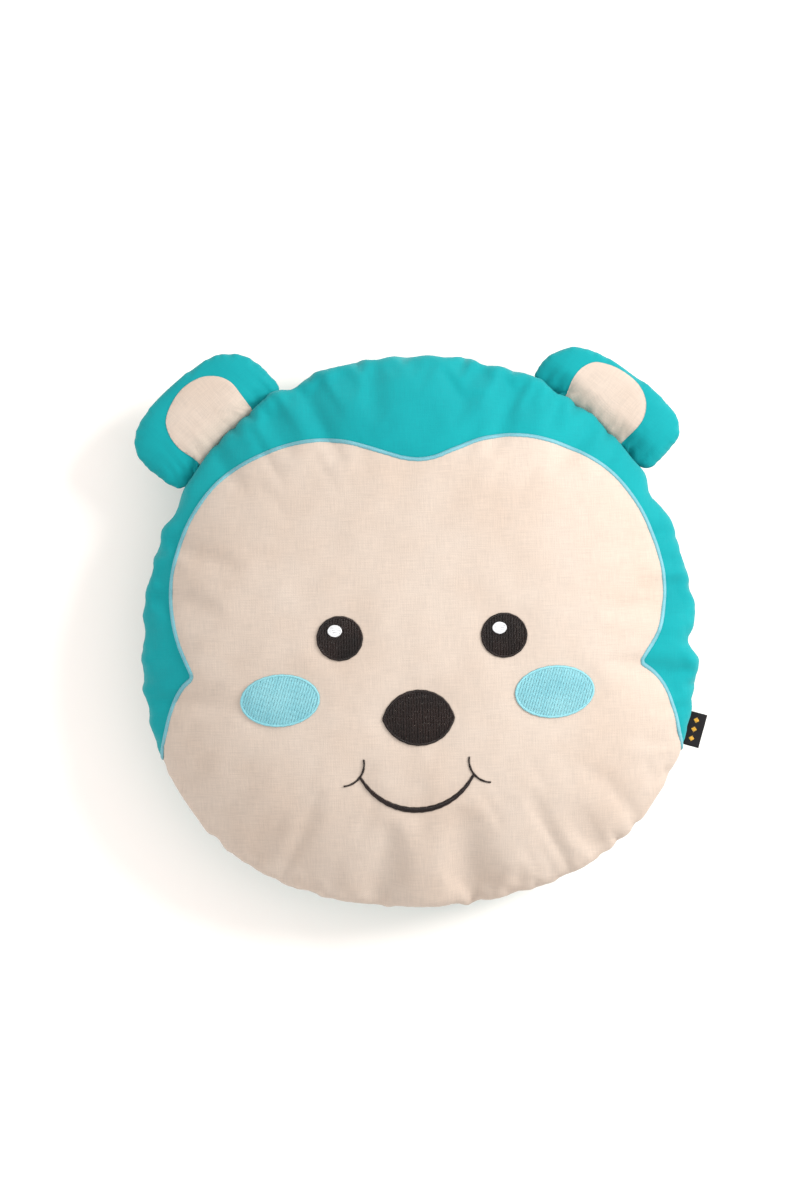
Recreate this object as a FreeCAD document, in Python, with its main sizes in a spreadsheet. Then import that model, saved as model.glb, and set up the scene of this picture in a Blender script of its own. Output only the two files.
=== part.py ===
import FreeCAD, Part
import math
import os

from FreeCAD import Vector

# Stuffed monkey: a plush cushion in the shape of a monkey's head, which lies on its back, face up.
# The origin is the middle of the flat patch that it rests on. +X is across the face, +Y is towards the
# top of the head and +Z is up, out of the face. Lengths are in millimetres and angles in degrees.

DIMENSIONS = {
    # the head's seam outline is a circle with a low crown, full jowls and soft corners
    "head_radius": 189.5,
    "head_droop": 2.4,
    "head_jowl": 4.1,
    "head_corner": 2.4,
    # the two crowned halves, and the flat patch under the back one
    "seam_height": 50,
    "crown_rise": 66,
    "back_depth": 49,
    "rest_share": 0.42,
    "rest_trim": 5,
    "crown_fullness": 2.2,
    "crown_shoulder": 0.6,
    # layers and seams
    "fabric": 1.2,
    "applique": 1.0,
    "embroidery": 0.9,
    "backing": 0.4,
    "thread_line": 0.6,
    "allowance": 10,
    "stitch_inset": 3,
    # the face
    "border_width": 3,
    "eye_across": 54.7,
    "eye_up": -1,
    "eye_width": 31,
    "eye_tall": 30,
    "highlight_shift": 3,
    "highlight_up": 5,
    "highlight_width": 9.4,
    "highlight_tall": 7.8,
    "nose_up": -56,
    "nose_half": 24.8,
    "nose_rise": 19.4,
    "nose_drop": 18.1,
    "mouth_up": -94.5,
    "mouth_half": 37.7,
    "mouth_drop": 22.8,
    "mouth_thick": 4,
    "mouth_tip": 1.5,
    "crease_across": 50,
    "crease_up": -85.5,
    "crease_bend": 15,
    "crease_thick": 1.4,
    "crease_turn": 46,
    "cheek_across": 92,
    "cheek_up": -41,
    "cheek_width": 53.4,
    "cheek_tall": 35,
    "backing_up": -52,
    "backing_wide": 260,
    "backing_tall": 170,
    "column_spare": 10,
    # the ears, each measured from the middle of its own outline
    "ear_angle": 47,
    "ear_hinge_reach": 190,
    "ear_middle": 20,
    "ear_half": 50,
    "ear_widest": 55,
    "ear_tall": 45,
    "ear_base_drop": 2,
    "ear_base_gap": 4.5,
    "ear_rise": 17,
    "ear_allowance": 6,
    "patch_up": -4,
    "patch_wide": 56,
    "patch_tall": 44,
    "root_half": 26,
    "root_depth": 10,
    "hinge_gap": 1,
    # the folded label in the side seam
    "label_angle": -21,
    "label_lean": 4,
    "label_width": 24,
    "label_reach": 12,
    "label_thick": 1.0,
    "motif_size": 4,
    "motif_relief": 0.2,
    "motif_pitch": 6.4,
    # the hand-closed gap at the bottom of the seam
    "closing_half_angle": 11,
    "closing_stitch": 0.8,
    "closing_gap": 0.1,
}
CROWN_SHARES = (1, 0.985, 0.94, 0.86, 0.74, 0.6, 0.44, 0.28, 0.12)
BACK_SHARES = (1, 0.99, 0.965, 0.92, 0.85, 0.76, 0.65, 0.53, 0.42)
FACE_EDGE = ((21.5, 122), (48, 131.6), (76, 132), (104, 124), (130, 109), (149.5, 86.5),
             (162, 59), (167.4, 29.5), (163.5, 0), (151.7, -23.3))
JOWL_EDGE = ((151.7, -23.3), (165.5, -40), (172, -56), (176, -72), (178, -90), (181, -112))
FACE_DIP = (0, 118.5)
# half of an ear's edge, as shares of its greatest width and height
EAR_SIDE = ((1, 0.27), (0.95, 0.58), (0.76, 0.84), (0.42, 0.97))
# how far a cutting form reaches past the outline that it follows
BEYOND = 1.2
RUN_POINTS = 5
CLOSING_STITCHES = 12
OUTLINE_POINTS = 24

doc = FreeCAD.newDocument("stuffed_monkey")


def make_sheet():
    sheet = doc.addObject("Spreadsheet::Sheet", "Dimensions")
    for row, (alias, value) in enumerate(DIMENSIONS.items(), start=1):
        sheet.set(f"A{row}", alias)
        sheet.set(f"B{row}", str(value))
        sheet.setAlias(f"B{row}", alias)
    doc.recompute()
    return sheet


dimensions = make_sheet()


def size(alias):
    return float(getattr(dimensions, alias))


def bind(item, **formulas):
    """Ties properties of an object to cells. In a keyword, __ stands for the dot of a property's path."""
    for path, formula in formulas.items():
        item.setExpression(path.replace("__", "."), formula)
    return item


def placed(item, x="0", y="0", z="Dimensions.seam_height", turn="0"):
    item.Placement.Rotation = FreeCAD.Rotation(Vector(0, 0, 1), 0)
    return bind(item, Placement__Base__x=x, Placement__Base__y=y, Placement__Base__z=z,
                Placement__Rotation__Angle=turn)


# ---- curves and outlines ----

def spline(points, closed=False):
    curve = Part.BSplineCurve()
    curve.interpolate(Points=[Vector(x, y, 0) for x, y in points], PeriodicFlag=closed)
    return curve


def line(start, end):
    return Part.LineSegment(Vector(*start, 0), Vector(*end, 0))


def arc(start, middle, end):
    return Part.Arc(Vector(*start, 0), Vector(*middle, 0), Vector(*end, 0))


def sketch(name, curves):
    made = doc.addObject("Sketcher::SketchObject", name)
    for curve in curves:
        made.addGeometry(curve, False)
    return made


def mirrored(points):
    return [(-x, y) for x, y in reversed(points)]


def beside(points, distance):
    """The points moved to the left of their own path by a distance."""
    curve = spline(points)
    moved = []
    for x, y in points:
        along = curve.tangent(curve.parameter(Vector(x, y, 0)))[0]
        moved.append((x - along.y * distance, y + along.x * distance))
    return moved


def strip(name, edge, inner):
    """The outline between two paths that run side by side."""
    return sketch(name, [spline(edge), line(edge[-1], inner[-1]), spline(inner[::-1]),
                         line(inner[0], edge[0])])


def oval(name, width, tall):
    made = doc.addObject("Part::Ellipse", name)
    return bind(made, MajorRadius=f"{width} / 2", MinorRadius=f"{tall} / 2")


# ---- solids ----

def crown(name, outline, shares, rise, lowest_share="0"):
    """A crowned half: sections of the outline that shrink as they rise from the seam plane."""
    sections = []
    for share in shares:
        section = doc.addObject("Part::Scale", f"{name}_section_{len(sections) + 1}")
        section.Base = outline
        section.Uniform = True
        section.UniformScale = share
        inward = f"max(0; ({share} - {lowest_share}) / (1 - {lowest_share}))"
        height = f"{rise} * (1 - ({inward}) ^ Dimensions.crown_fullness) ^ Dimensions.crown_shoulder"
        bind(section, Placement__Base__z=height)
        sections.append(section)
    loft = doc.addObject("Part::Loft", name)
    loft.Sections = sections
    loft.Solid = True
    loft.Ruled = False
    return loft


def layer(name, half, growth, reach, tall, rise, place):
    """The crowned half grown by a thickness, at its place on the toy."""
    made = doc.addObject("Part::Scale", name)
    made.Base = half
    made.Uniform = False
    bind(made, XScale=f"1 + ({growth}) / {reach}", YScale=f"1 + ({growth}) / {tall}",
         ZScale=f"1 + ({growth}) / {rise}")
    return placed(made, **place)


def prism(name, outline, tall, place, start="0", grow=1):
    """A straight prism of an outline, from start to start + tall above its place."""
    if grow != 1:
        scaled = doc.addObject("Part::Scale", f"{name}_outline")
        scaled.Base = outline
        scaled.Uniform = True
        bind(scaled, UniformScale=str(grow))
        outline = scaled
    made = doc.addObject("Part::Extrusion", name)
    made.Base = outline
    made.DirMode = "Custom"
    made.Dir = Vector(0, 0, 1)
    made.Solid = True
    bind(made, LengthFwd=f"({start}) + ({tall})", LengthRev=f"-({start})")
    return placed(made, **place)


def cut(name, base, tool):
    made = doc.addObject("Part::Cut", name)
    made.Base = base
    made.Tool = tool
    return made


def common(name, base, tool):
    made = doc.addObject("Part::Common", name)
    made.Base = base
    made.Tool = tool
    return made


def fused(name, shapes):
    made = doc.addObject("Part::MultiFuse", name)
    made.Shapes = shapes
    return made


SUBPARTS = []


def subpart(item, label):
    item.Label = label
    SUBPARTS.append(item)
    return item


# ---- a seamed and stuffed form, used for the head and for each ear ----

def stuffed(name, outline, front, back, sizes, allowance, place):
    """Two panels with turned-in seam allowances, the stitches beside them and the room for filling."""
    reach, tall, rise, depth = sizes
    inner = f"1 - {allowance} / {tall}"
    made = {}
    for side, half, high, sign in (("front", front, rise, 1), ("back", back, depth, -1)):
        start = "0" if sign > 0 else "-Dimensions.fabric"
        solid = layer(f"{name}_{side}_room", half, "0", reach, tall, high, place)
        rim = cut(f"{name}_{side}_allowance",
                  prism(f"{name}_{side}_rim", outline, "Dimensions.fabric", place, start, BEYOND),
                  prism(f"{name}_{side}_rim_hole", outline, "Dimensions.fabric", place, start, inner))
        made[side + "_room"] = cut(f"{name}_{side}_cavity", solid, rim)
        skin = layer(f"{name}_{side}_skin", half, "Dimensions.fabric", reach, tall, high, place)
        made[side] = cut(f"{name}_{side}_panel", skin, made[side + "_room"])
    rings = []
    below = "-Dimensions.fabric - Dimensions.thread_line"
    for side, start in (("front", "Dimensions.fabric"), ("back", below)):
        outer = f"1 - Dimensions.stitch_inset / {tall}"
        inner_line = f"1 - (Dimensions.stitch_inset + Dimensions.thread_line) / {tall}"
        rings.append(cut(f"{name}_{side}_stitch_ring",
                         prism(f"{name}_{side}_ring", outline, "Dimensions.thread_line", place, start,
                               outer),
                         prism(f"{name}_{side}_ring_hole", outline, "Dimensions.thread_line", place, start,
                               inner_line)))
    made["stitches"] = fused(f"{name}_stitches", rings)
    room = fused(f"{name}_room", [made["front_room"], made["back_room"]])
    made["filling"] = cut(f"{name}_filling_less_stitches", room, made["stitches"])
    return made


# ---- the head ----

HEAD_PLACE = {"z": "Dimensions.seam_height"}
HEAD_SIZES = ("Dimensions.head_radius", "Dimensions.head_radius", "Dimensions.crown_rise",
              "Dimensions.back_depth")


def head_reach(angle):
    """From the middle to the filling's seam at an angle in radians."""
    return (size("head_radius") - size("head_droop") * math.sin(angle)
            - size("head_jowl") * math.sin(3 * angle) - size("head_corner") * math.cos(4 * angle))


def head_point(angle, beyond=0):
    reach = head_reach(angle) + beyond
    return reach * math.cos(angle), reach * math.sin(angle)


def head_outline():
    """The closed seam line. It starts at a jowl, where no edge of the face crosses the start."""
    turns = [2 * math.pi * step / OUTLINE_POINTS - math.pi / 4 for step in range(OUTLINE_POINTS)]
    return sketch("head_outline", [spline([head_point(turn) for turn in turns], closed=True)])


def face_outline():
    """The applique's edge: two brow lobes with a dip, a notch at each side, and the jowls to the seam."""
    right = [*FACE_EDGE]
    left = mirrored(right)
    jowl_end = JOWL_EDGE[-1]
    below = BEYOND * size("head_radius")
    left_jowl = mirrored(JOWL_EDGE)
    beyond = [(below, jowl_end[1]), (0, -below), (-below, jowl_end[1])]
    return sketch("face_outline", [
        spline([*left, FACE_DIP, *right]),
        spline(JOWL_EDGE),
        line(jowl_end, beyond[0]),
        arc(*beyond),
        line(beyond[2], left_jowl[0]),
        spline(left_jowl),
    ])


def face_border(threads):
    """The satin-stitched band just inside the applique's edge, in runs that lie end to end."""
    brow = [*mirrored(FACE_EDGE), FACE_DIP, *FACE_EDGE]
    runs = []
    for edge in (brow, [*JOWL_EDGE], mirrored(JOWL_EDGE)):
        inner = beside(edge, -size("border_width"))
        for start in range(0, len(edge) - 1, RUN_POINTS):
            stop = start + RUN_POINTS + 1
            name = f"border_{len(runs) + 1}"
            column = prism(f"{name}_column", strip(f"{name}_outline", edge[start:stop], inner[start:stop]),
                           "Dimensions.crown_rise + Dimensions.column_spare", HEAD_PLACE)
            runs.append(common(f"{name}_run", threads, column))
    together = doc.addObject("Part::Compound", "border_runs")
    together.Links = runs
    return subpart(together, "face_border_stitching")


def on_face(across="0", up="0"):
    return {"x": across, "y": up, "z": "Dimensions.seam_height"}


def embroidered(label, threads, outline, across="0", up="0", hole=None):
    """A patch of embroidery: the thread layer inside an outline, less another patch."""
    column = prism(f"{label}_column", outline, "Dimensions.crown_rise + Dimensions.column_spare",
                   on_face(across, up))
    if hole:
        column = cut(f"{label}_column_less_hole", column, hole)
    return subpart(common(f"{label}_patch", threads, column), label), column


def make_eye(side, sign, threads):
    across = f"{sign} * Dimensions.eye_across"
    shine = oval(f"{side}_shine", "Dimensions.highlight_width", "Dimensions.highlight_tall")
    _, hole = embroidered(f"{side}_eye_highlight", threads, shine,
                          f"{across} - Dimensions.highlight_shift",
                          "Dimensions.eye_up + Dimensions.highlight_up")
    outline = oval(f"{side}_eye_outline", "Dimensions.eye_width", "Dimensions.eye_tall")
    embroidered(f"{side}_eye", threads, outline, across, "Dimensions.eye_up", hole)


def make_nose(threads):
    half = size("nose_half")
    top, bottom = (0, size("nose_rise")), (0, -size("nose_drop"))
    outline = sketch("nose_outline", [arc((-half, 0), top, (half, 0)), arc((half, 0), bottom, (-half, 0))])
    embroidered("nose", threads, outline, up="Dimensions.nose_up")


def make_mouth(threads):
    half, drop = size("mouth_half"), size("mouth_drop")
    tip, thick = size("mouth_tip") / 2, size("mouth_thick") / 2
    outer = arc((-half - tip, 0), (0, -drop - thick), (half + tip, 0))
    inner = arc((half - tip, 0), (0, -drop + thick), (-half + tip, 0))
    outline = sketch("mouth_outline", [
        outer, line((half + tip, 0), (half - tip, 0)), inner, line((-half + tip, 0), (-half - tip, 0))])
    return embroidered("mouth", threads, outline, up="Dimensions.mouth_up")[1]


def make_crease(side, sign, threads, mouth):
    """A quarter-circle crease beside the corner of the mouth."""
    half = size("crease_thick") / 2
    middle, spread = math.radians(-38), math.radians(size("crease_turn"))
    turns = (middle + spread, middle, middle - spread)
    edges = []
    for bend in (size("crease_bend") + half, size("crease_bend") - half):
        edges.append([(-sign * bend * math.cos(turn), bend * math.sin(turn)) for turn in turns])
    outer, inner = edges
    outline = sketch(f"{side}_crease_outline", [
        arc(*outer), line(outer[-1], inner[-1]), arc(*reversed(inner)), line(inner[0], outer[0])])
    embroidered(f"{side}_smile_crease", threads, outline, f"{sign} * Dimensions.crease_across",
                "Dimensions.crease_up", mouth)


def make_face(front):
    """The applique, its border and the embroidery, which follow the front crown in layers."""
    stack = {}
    for name, growth in (("fabric", "Dimensions.fabric"),
                         ("applique", "Dimensions.fabric + Dimensions.applique"),
                         ("thread", "Dimensions.fabric + Dimensions.applique + Dimensions.embroidery")):
        stack[name] = layer(f"face_{name}_top", front, growth, *HEAD_SIZES[:3], HEAD_PLACE)
    cloth = cut("applique_layer", stack["applique"], stack["fabric"])
    threads = cut("thread_layer", stack["thread"], stack["applique"])
    face = prism("face_column", face_outline(), "Dimensions.crown_rise + Dimensions.column_spare", HEAD_PLACE)
    subpart(common("face_cloth", cloth, face), "face_panel")
    face_border(threads)
    for side, sign in (("left", -1), ("right", 1)):
        make_eye(side, sign, threads)
        cheek = oval(f"{side}_cheek_outline", "Dimensions.cheek_width", "Dimensions.cheek_tall")
        embroidered(f"{side}_cheek", threads, cheek, f"{sign} * Dimensions.cheek_across",
                    "Dimensions.cheek_up")
    make_nose(threads)
    mouth = make_mouth(threads)
    for side, sign in (("left", -1), ("right", 1)):
        make_crease(side, sign, threads, mouth)


def make_backing(front):
    """The non-woven stabiliser behind the embroidery, inside the front panel."""
    outer = layer("backing_outer", front, "0", *HEAD_SIZES[:3], HEAD_PLACE)
    inner = layer("backing_inner", front, "-Dimensions.backing", *HEAD_SIZES[:3], HEAD_PLACE)
    outline = oval("backing_outline", "Dimensions.backing_wide", "Dimensions.backing_tall")
    column = prism("backing_column", outline, "Dimensions.crown_rise + Dimensions.column_spare",
                   on_face(up="Dimensions.backing_up"))
    sheet = cut("backing_layer", outer, inner)
    return subpart(common("backing_sheet", sheet, column), "embroidery_backing")


def make_closing():
    """The ladder stitches that close the gap for the filling, across the outside of the lowest seam."""
    stitches = []
    spread = math.radians(size("closing_half_angle"))
    cloth = size("fabric") + size("applique")
    beyond = cloth + size("closing_gap") + size("closing_stitch") / 2
    for step in range(CLOSING_STITCHES):
        angle = -math.pi / 2 + spread * (2 * step / (CLOSING_STITCHES - 1) - 1)
        x, y = head_point(angle, beyond)
        stitch = doc.addObject("Part::Cylinder", f"closing_stitch_{step + 1}")
        bind(stitch, Radius="Dimensions.closing_stitch / 2", Height="2 * Dimensions.fabric")
        placed(stitch, str(x), str(y), "Dimensions.seam_height - Dimensions.fabric")
        stitches.append(stitch)
    return subpart(fused("closing_run", stitches), "closing_stitches")


# ---- the ears and the label, which fold at the head's seam ----

def ear_place(sign, out="Dimensions.ear_hinge_reach + Dimensions.ear_middle", z="Dimensions.seam_height"):
    return {"x": f"{sign} * ({out}) * cos(Dimensions.ear_angle)",
            "y": f"({out}) * sin(Dimensions.ear_angle)",
            "z": z, "turn": f"{sign} * (Dimensions.ear_angle - 90)"}


def ear_outline():
    """A D: a base that follows the head's seam and a blunt outer edge, about the ear's own middle."""
    half, widest = size("ear_half"), size("ear_widest")
    base, middle, top = -size("ear_base_drop"), size("ear_base_gap"), size("ear_tall")
    side = [(half, base), *((out * widest, up * top) for out, up in EAR_SIDE)]
    base_line = arc((-half, base), (0, middle), (half, base))
    edge = spline([*side, (0, top), *mirrored(side)])
    for curve in (base_line, edge):
        curve.translate(Vector(0, -size("ear_middle"), 0))
    return sketch("ear_outline", [base_line, edge])


def slab(name, half_width, length, thick, place):
    """A strip of folded cloth, centred across and starting at its place along its own Y."""
    outline = sketch(f"{name}_outline", [
        line((-half_width, 0), (half_width, 0)), line((half_width, 0), (half_width, length)),
        line((half_width, length), (-half_width, length)), line((-half_width, length), (-half_width, 0))])
    return prism(name, outline, thick, place)


def make_ear(side, sign, outline, front, back):
    sizes = ("Dimensions.ear_widest", "(Dimensions.ear_middle + Dimensions.ear_base_drop)",
             "Dimensions.ear_rise", "Dimensions.ear_rise")
    place = ear_place(sign)
    form = stuffed(f"{side}_ear", outline, front, back, sizes, "Dimensions.ear_allowance", place)
    below = "Dimensions.seam_height - Dimensions.fabric"
    tongue = slab(f"{side}_ear_tongue", size("root_half"), size("root_depth"), "Dimensions.fabric",
                  ear_place(sign, "Dimensions.ear_hinge_reach + Dimensions.hinge_gap", below))
    root = slab(f"{side}_root_slab", size("root_half"), size("root_depth"), "Dimensions.fabric",
                ear_place(sign, "Dimensions.ear_hinge_reach - Dimensions.hinge_gap - Dimensions.root_depth",
                          below))
    subpart(form["front"], f"{side}_ear_front")
    subpart(fused(f"{side}_ear_back_with_tongue", [form["back"], tongue]), f"{side}_ear_back")
    subpart(cut(f"{side}_ear_stuffing", form["filling"], tongue), f"{side}_ear_filling")
    subpart(form["stitches"], f"{side}_ear_stitching")
    grown = "Dimensions.fabric + Dimensions.applique"
    cloth = cut(f"{side}_patch_layer",
                layer(f"{side}_patch_top", front, grown, *sizes[:3], place),
                layer(f"{side}_patch_under", front, "Dimensions.fabric", *sizes[:3], place))
    oval_outline = oval(f"{side}_patch_outline", "Dimensions.patch_wide", "Dimensions.patch_tall")
    patch_out = "Dimensions.ear_hinge_reach + Dimensions.ear_middle + Dimensions.patch_up"
    column = prism(f"{side}_patch_column", oval_outline, "Dimensions.ear_rise + Dimensions.column_spare",
                   ear_place(sign, patch_out))
    subpart(common(f"{side}_patch_cloth", cloth, column), f"{side}_ear_patch")
    return subpart(root, f"{side}_ear_root")


def label_place(out, z):
    """At the side seam, facing a little below straight out."""
    angle = math.radians(size("label_angle"))
    x, y = head_point(angle, size("fabric"))
    facing = f"(Dimensions.label_angle + Dimensions.label_lean)"
    return {"x": f"{x} + ({out}) * cos{facing}", "y": f"{y} + ({out}) * sin{facing}", "z": z,
            "turn": f"{facing} - 90"}


def make_label():
    """A folded woven label: the part caught in the seam, the loop outside it and a plain woven motif."""
    half = size("label_width") / 2
    below = "Dimensions.seam_height - Dimensions.fabric"
    root = slab("label_root_slab", half, size("root_depth"), "Dimensions.label_thick",
                label_place("-Dimensions.root_depth", below))
    tape = slab("label_slab", half, size("label_reach"), "Dimensions.label_thick",
                label_place("2 * Dimensions.hinge_gap", below))
    subpart(tape, "label_tape")
    reach = size("motif_size") / 2
    diamonds = []
    for step in (-1, 0, 1):
        middle = step * size("motif_pitch")
        corners = [(middle + reach, 0), (middle, reach), (middle - reach, 0), (middle, -reach)]
        sides = [line(a, b) for a, b in zip(corners, corners[1:] + corners[:1])]
        diamonds.append(prism(
            f"motif_diamond_{step + 2}", sketch(f"motif_outline_{step + 2}", sides),
            "Dimensions.motif_relief",
            label_place("2 * Dimensions.hinge_gap + Dimensions.label_reach / 2",
                        f"{below} + Dimensions.label_thick")))
    subpart(fused("label_diamonds", diamonds), "label_motif")
    return subpart(root, "label_root")


# ---- the assembly ----

def make_head(front, back, outline, roots):
    form = stuffed("head", outline, front, back, HEAD_SIZES, "Dimensions.allowance", HEAD_PLACE)
    make_closing()
    backing = make_backing(front)
    ground = prism("flattened_by_the_ground", outline, "Dimensions.rest_trim",
                   {"z": "-Dimensions.rest_trim"})
    taken = fused("taken_from_the_back", [*roots, ground])
    subpart(form["front"], "front_panel")
    subpart(cut("back_cover", form["back"], taken), "back_panel")
    subpart(form["stitches"], "seam_stitching")
    inside = fused("inside_the_filling", [*roots, backing])
    subpart(cut("head_stuffing", form["filling"], inside), "head_filling")


def make_toy():
    outline = head_outline()
    front = crown("head_front", outline, CROWN_SHARES, "Dimensions.crown_rise")
    back = crown("head_back", outline, BACK_SHARES, "-Dimensions.back_depth", "Dimensions.rest_share")
    ear = ear_outline()
    ear_front = crown("ear_front_half", ear, CROWN_SHARES, "Dimensions.ear_rise")
    ear_back = crown("ear_back_half", ear, CROWN_SHARES, "-Dimensions.ear_rise")
    roots = [make_ear(side, sign, ear, ear_front, ear_back) for side, sign in (("left", -1), ("right", 1))]
    roots.append(make_label())
    make_head(front, back, outline, roots)
    make_face(front)


def check_document():
    doc.recompute()
    for item in doc.Objects:
        if {"Invalid", "Error"} & set(item.State):
            raise RuntimeError(f"{item.Label} failed: {item.State}")
    for item in SUBPARTS:
        shape = item.Shape
        if shape.isNull() or not shape.isValid() or not shape.Solids:
            raise RuntimeError(f"{item.Label} has no valid solid")


def write_steps():
    os.makedirs("parts", exist_ok=True)
    for item in SUBPARTS:
        item.Shape.exportStep(f"parts/{item.Label}.step")
        print(f"{item.Label}: {len(item.Shape.Solids)} solid(s), {item.Shape.Volume:.0f} mm3")


make_toy()
check_document()
write_steps()
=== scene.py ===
"""Looks for the stuffed monkey cushion: padded covers, applique face, real stitches and a folded label."""

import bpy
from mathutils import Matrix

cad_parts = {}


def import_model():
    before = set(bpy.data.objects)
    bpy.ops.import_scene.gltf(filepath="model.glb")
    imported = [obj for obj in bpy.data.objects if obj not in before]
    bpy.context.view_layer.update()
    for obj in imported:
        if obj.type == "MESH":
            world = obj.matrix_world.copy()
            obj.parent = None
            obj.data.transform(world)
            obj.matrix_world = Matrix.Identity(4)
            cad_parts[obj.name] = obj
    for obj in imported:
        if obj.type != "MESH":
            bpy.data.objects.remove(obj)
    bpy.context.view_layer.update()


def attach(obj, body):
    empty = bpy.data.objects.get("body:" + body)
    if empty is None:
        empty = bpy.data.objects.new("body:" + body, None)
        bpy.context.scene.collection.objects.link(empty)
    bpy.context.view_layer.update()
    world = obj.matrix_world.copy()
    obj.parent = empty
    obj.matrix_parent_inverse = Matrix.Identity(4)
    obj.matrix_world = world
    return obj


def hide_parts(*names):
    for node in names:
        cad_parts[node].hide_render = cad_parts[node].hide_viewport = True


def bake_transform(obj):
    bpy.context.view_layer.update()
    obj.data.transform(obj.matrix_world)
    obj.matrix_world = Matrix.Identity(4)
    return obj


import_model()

import math

import bpy
import numpy as np
from mathutils import Vector, geometry
from mathutils.bvhtree import BVHTree

MM = 0.001
SEAM = 50.0            # height of the head's seam plane above the floor, mm
FRONT = 66.5           # how far the front crowns above the seam
BACK = 50.0            # how far the back hangs below it
SWELL = 1.1            # a flat panel is this much larger than the stuffed outline


# ---------------------------------------------------------------- numbers and curves

def smoothstep(t):
    """0 below 0, 1 above 1, and a smooth rise between."""
    t = np.clip(t, 0, 1)
    return t * t * (3 - 2 * t)


def curve_piece(a, b, c, d, step):
    """Points every step along the smooth curve from b to c, with a before them and d after."""
    count = max(2, int(np.linalg.norm(c - b) / step))
    t = np.linspace(0, 1, count, endpoint=False)[:, None]
    return 0.5 * (2 * b + (c - a) * t + (2 * a - 5 * b + 4 * c - d) * t ** 2
                  + (3 * b - a - 3 * c + d) * t ** 3)


def closed_curve(points, step):
    """A smooth closed curve through points, sampled every step."""
    p = np.array(points, float)
    n = len(p)
    return np.concatenate([curve_piece(*(p[(i + k) % n] for k in (-1, 0, 1, 2)), step) for i in range(n)])


def open_curve(points, step):
    """A smooth open curve through points, its ends kept."""
    p = np.array(points, float)
    p = np.vstack([2 * p[0] - p[1], p, 2 * p[-1] - p[-2]])
    return np.vstack([*(curve_piece(*p[i - 1:i + 3], step) for i in range(1, len(p) - 2)), p[-2]])


def resample(points, step):
    """Points an equal distance apart along a path."""
    p = np.asarray(points, float)
    run = np.concatenate([[0], np.cumsum(np.linalg.norm(np.diff(p, axis=0), axis=1))])
    count = max(2, int(round(run[-1] / step)) + 1)
    at = np.linspace(0, run[-1], count)
    return np.stack([np.interp(at, run, p[:, k]) for k in range(p.shape[1])], 1)


def signed(points, outline):
    """Distance of each point from a closed outline, negative inside it."""
    p = np.asarray(points, float)[:, None, :]
    a = np.asarray(outline, float)
    b = np.roll(a, -1, axis=0)
    d = b - a
    far = np.empty(len(p))
    inside = np.zeros(len(p), bool)
    for start in range(0, len(p), 4000):
        q = p[start:start + 4000]
        t = np.clip(((q - a) * d).sum(2) / np.maximum((d * d).sum(1), 1e-12), 0, 1)
        near = a + t[..., None] * d
        far[start:start + 4000] = np.sqrt(((q - near) ** 2).sum(2)).min(1)
        y = q[..., 1]
        cross = (a[:, 1] > y) != (b[:, 1] > y)
        x = a[:, 0] + (y - a[:, 1]) * d[:, 0] / np.where(d[:, 1] == 0, 1e-12, d[:, 1])
        inside[start:start + 4000] = (cross & (q[..., 0] < x)).sum(1) % 2 == 1
    return np.where(inside, -far, far)


def reach_around(points, centre, window=7):
    """The distance of an outline from its centre, smoothed, as a function of the angle."""
    q = points - centre
    a, d = np.arctan2(q[:, 1], q[:, 0]), np.hypot(q[:, 0], q[:, 1])
    order = np.argsort(a)
    a, d = a[order], d[order]
    a, d = np.concatenate([a - 2 * math.pi, a, a + 2 * math.pi]), np.tile(d, 3)
    d = np.convolve(d, np.hanning(window) / np.hanning(window).sum(), "same")
    return lambda at: np.interp(at, a, d)


def ellipse(centre, width, tall, tilt=0, count=96):
    a = np.linspace(0, 2 * math.pi, count, endpoint=False)
    t = math.radians(tilt)
    x, y = width / 2 * np.cos(a), tall / 2 * np.sin(a)
    return np.stack([centre[0] + x * math.cos(t) - y * math.sin(t),
                     centre[1] + x * math.sin(t) + y * math.cos(t)], 1)


def wobble(x, y, size, seed):
    """Smooth noise from -1 to 1 that repeats nowhere on the toy, from a sum of turned waves."""
    r = np.random.default_rng(seed)
    total = 0
    for _ in range(9):
        a, k, ph = r.uniform(0, 2 * math.pi), r.uniform(0.6, 1.5) / size, r.uniform(0, 2 * math.pi)
        total = total + np.sin(2 * math.pi * k * (x * math.cos(a) + y * math.sin(a)) + ph)
    return total / 4.5


# ---------------------------------------------------------------- cloth that is cut, sewn and inflated

def panel(rim, spacing):
    """A flat panel: its rim and a triangular grid inside it."""
    n = len(rim)
    row = spacing * math.sqrt(3) / 2
    low, high = rim.min(0) - spacing, rim.max(0) + spacing
    grid = []
    for j in range(int((high[1] - low[1]) / row) + 1):
        for i in range(int((high[0] - low[0]) / spacing) + 2):
            grid.append((low[0] + (i + 0.5 * (j % 2)) * spacing, low[1] + j * row))
    grid = np.array(grid)
    grid = grid[signed(grid, rim) < -0.55 * spacing]
    points = [Vector(p) for p in rim] + [Vector(p) for p in grid]
    edges = [(i, (i + 1) % n) for i in range(n)]
    verts, _, faces, *_ = geometry.delaunay_2d_cdt(points, edges, [], 1, 1e-6)
    return np.array([(v.x, v.y) for v in verts]), [tuple(f) for f in faces]


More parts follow.
